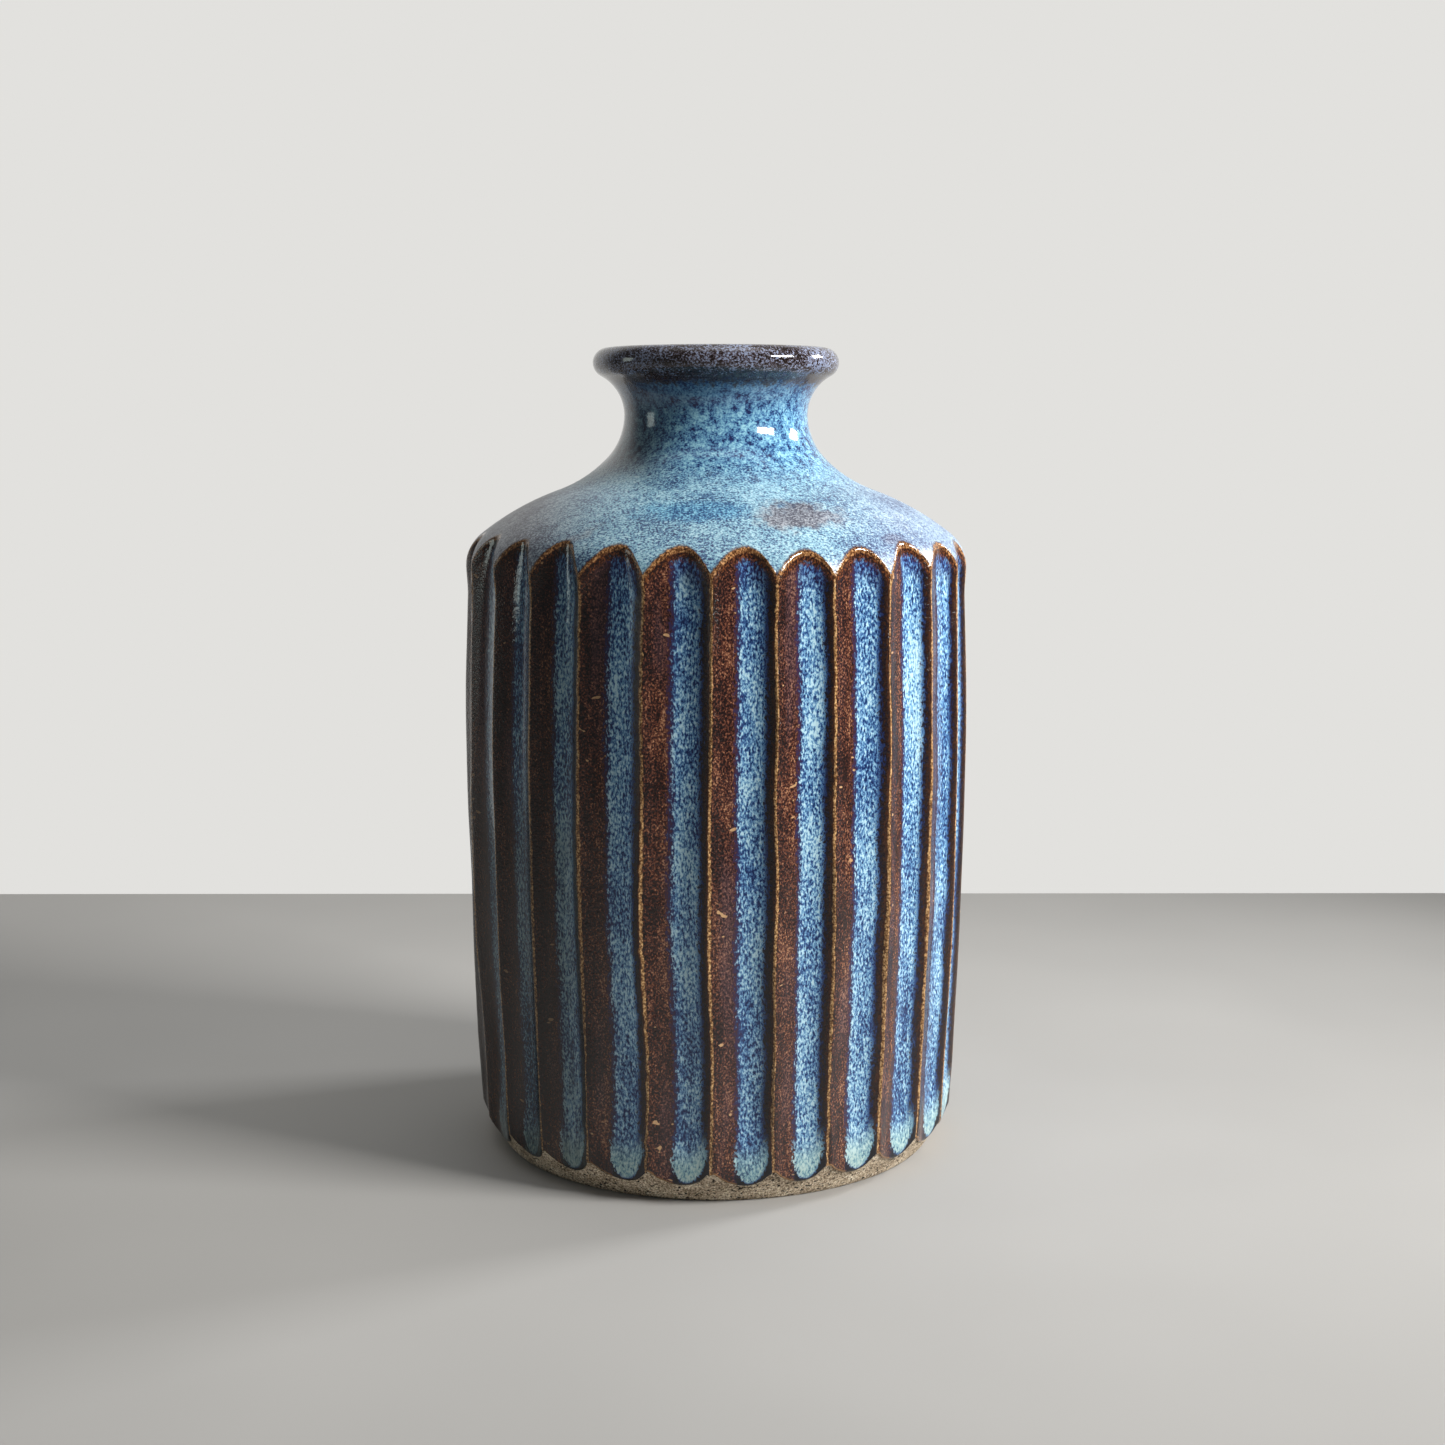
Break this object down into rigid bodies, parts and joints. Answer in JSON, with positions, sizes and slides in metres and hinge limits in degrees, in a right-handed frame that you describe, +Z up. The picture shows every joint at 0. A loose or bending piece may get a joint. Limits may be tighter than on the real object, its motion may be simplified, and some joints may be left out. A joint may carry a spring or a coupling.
{
  "type": "bud vase",
  "caption": "Wheel-thrown stoneware bud vase: fluted barrel body, narrow waisted neck and rolled lip, glossy speckled glaze over a bare trimmed foot.",
  "frame": {"origin": "centre of the foot, on the plane of the table", "axes": "+Z up along the vase's axis, out of its mouth; -Y is the front of the vase and +X is its right as seen from the front"},
  "size_m": [0.0792, 0.0796, 0.125],
  "materials": {
    "bare_stoneware": "matte, bare fired clay with dark specks",
    "variegated_glaze": "glossy, breaking from blue to brown over the ridges",
    "liner_glaze": "glossy, plain dark"
  },
  "bodies": {
    "root": {"stoneware_body": "bare_stoneware", "outer_glaze": "variegated_glaze", "liner_glaze": "liner_glaze"}
  },
  "joints": []
}
